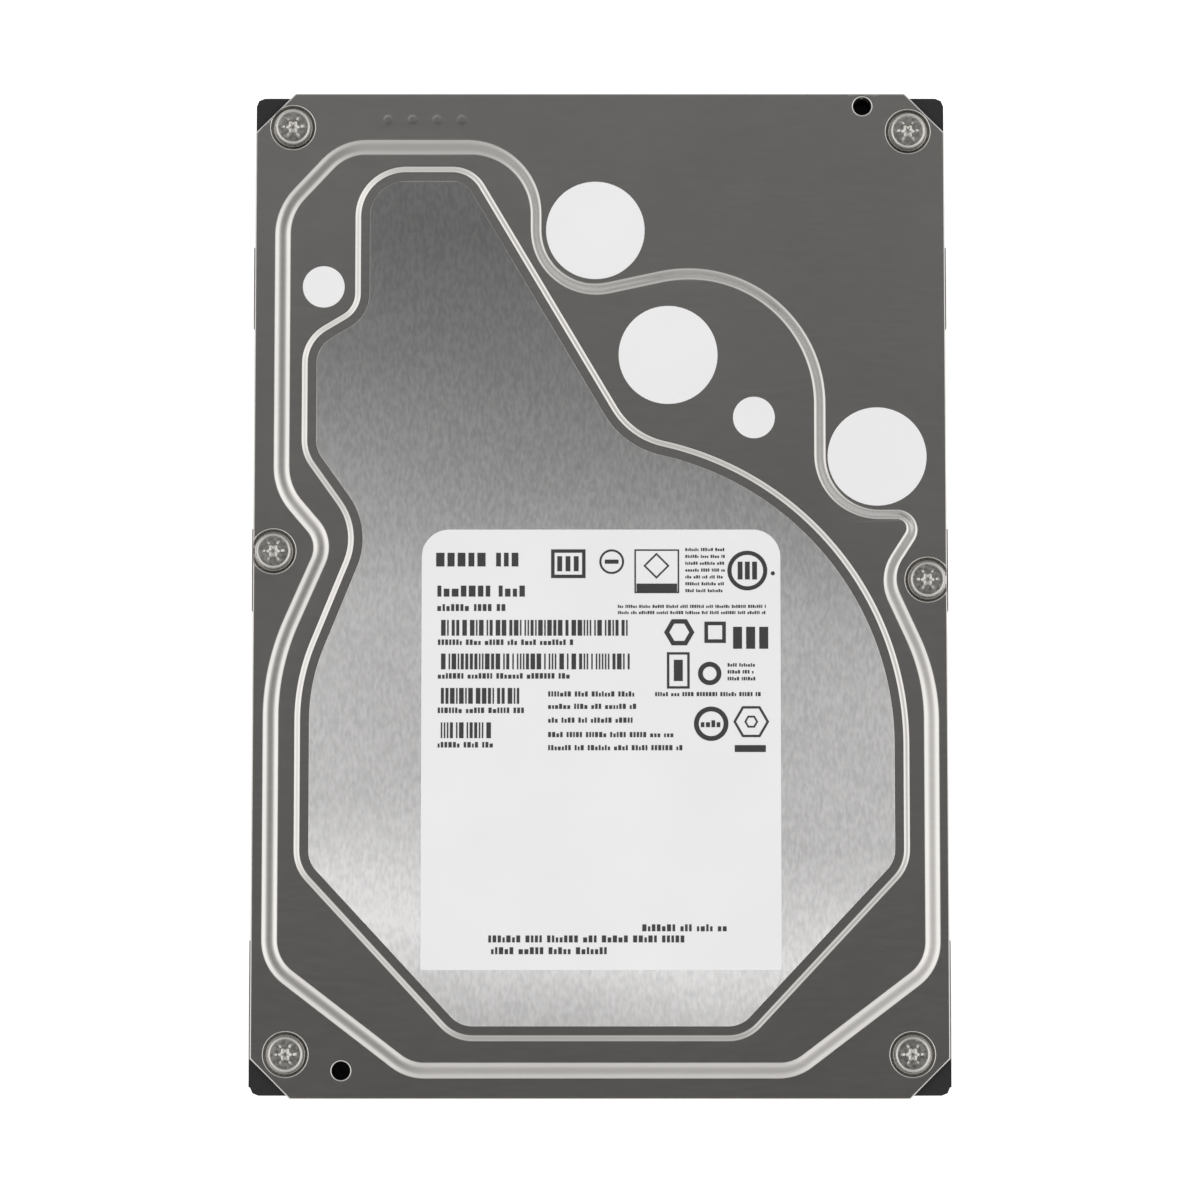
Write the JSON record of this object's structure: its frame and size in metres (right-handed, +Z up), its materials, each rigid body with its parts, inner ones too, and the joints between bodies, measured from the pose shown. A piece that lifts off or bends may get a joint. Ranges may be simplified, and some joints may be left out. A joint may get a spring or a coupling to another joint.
{
  "type": "hard disk drive",
  "caption": "Closed 3.5-inch magnetic disk drive: black cast base, stamped steel lid with label pocket, disk stack, swinging head actuator and edge connector.",
  "frame": {"origin": "centre of the underside of the casting, midway between its long sides and its ends", "axes": "+X across the width, +Y towards the connector end, +Z up out of the top cover"},
  "size_m": [0.1016, 0.147, 0.0261],
  "materials": {
    "cover_steel": "stamped stainless sheet, satin with a faint grain",
    "plate_steel": "brushed constrained-layer damping plate, fine grain along the length",
    "black_casting": "black electro-coated die casting, satin",
    "screw_steel": "plated fastener steel",
    "label_paper": "white printed label stock, matt",
    "rubber_seal": "moulded elastomer",
    "foam": "thin closed-cell foam sheet",
    "board": "green solder mask over laminate",
    "chip_epoxy": "moulded epoxy package",
    "black_plastic": "glass-filled nylon, fine texture",
    "white_plastic": "low-wear engineering plastic",
    "disk_mirror": "polished sputtered magnetic film",
    "machined_aluminium": "machined aluminium",
    "nickel": "nickel plate",
    "copper_winding": "enamelled copper wire",
    "suspension_steel": "etched stainless foil",
    "polyimide": "amber polyimide film",
    "felt": "electret filter felt"
  },
  "bodies": {
    "chassis": {"top_cover": "cover_steel", "damping_plate": "plate_steel", "base_casting": "black_casting", "cover_screw_1": "screw_steel", "cover_screw_2": "screw_steel", "cover_screw_3": "screw_steel", "cover_screw_4": "screw_steel", "cover_screw_5": "screw_steel", "cover_screw_6": "screw_steel", "board_screw_1": "screw_steel", "board_screw_2": "screw_steel", "board_screw_3": "screw_steel", "board_screw_4": "screw_steel", "pivot_screw": "screw_steel", "main_label": "label_paper", "seal_large_1": "label_paper", "seal_large_2": "label_paper", "seal_large_3": "label_paper", "seal_small_1": "label_paper", "seal_small_2": "label_paper", "cover_gasket": "rubber_seal", "crash_stop": "rubber_seal", "board_insulator": "foam", "circuit_board": "board", "controller_chip": "chip_epoxy", "motor_driver_chip": "chip_epoxy", "memory_chip": "chip_epoxy", "sata_connector": "black_plastic", "flex_bracket": "black_plastic", "load_ramp": "white_plastic", "bearing_sleeve": "nickel", "pivot_bearing": "nickel", "vcm_top_yoke": "nickel", "vcm_bottom_yoke": "nickel", "vcm_top_magnet": "nickel", "vcm_bottom_magnet": "nickel", "spindle_stator": "copper_winding", "flex_circuit": "polyimide", "recirculation_filter": "felt", "breather_filter": "felt"},
    "rotor": {"spindle_shaft": "nickel", "spindle_hub": "machined_aluminium", "rotor_magnet": "nickel", "platter_1": "disk_mirror", "platter_2": "disk_mirror", "platter_3": "disk_mirror", "platter_spacer_1": "machined_aluminium", "platter_spacer_2": "machined_aluminium", "disk_clamp": "machined_aluminium", "clamp_screw": "screw_steel"},
    "actuator": {"arm_block": "machined_aluminium", "voice_coil": "copper_winding", "head_suspension_1": "suspension_steel", "head_suspension_2": "suspension_steel", "head_suspension_3": "suspension_steel", "head_suspension_4": "suspension_steel", "head_suspension_5": "suspension_steel", "head_suspension_6": "suspension_steel"},
    "latch": {"actuator_latch": "black_plastic"}
  },
  "joints": [
    {"name": "spindle_spin", "type": "hinge", "parent": "chassis", "child": "rotor", "pos_m": [0, -0.0225, 0.0137], "axis": [0, 0, 1], "continuous": true},
    {"name": "actuator_swing", "type": "hinge", "parent": "chassis", "child": "actuator", "pos_m": [0.00993, 0.03454, 0.0139], "axis": [0, 0, 1], "range_deg": [0, 36]},
    {"name": "latch_swing", "type": "hinge", "parent": "chassis", "child": "latch", "pos_m": [0.04113, 0.02594, 0.0139], "axis": [0, 0, 1], "range_deg": [-12, 0]}
  ]
}
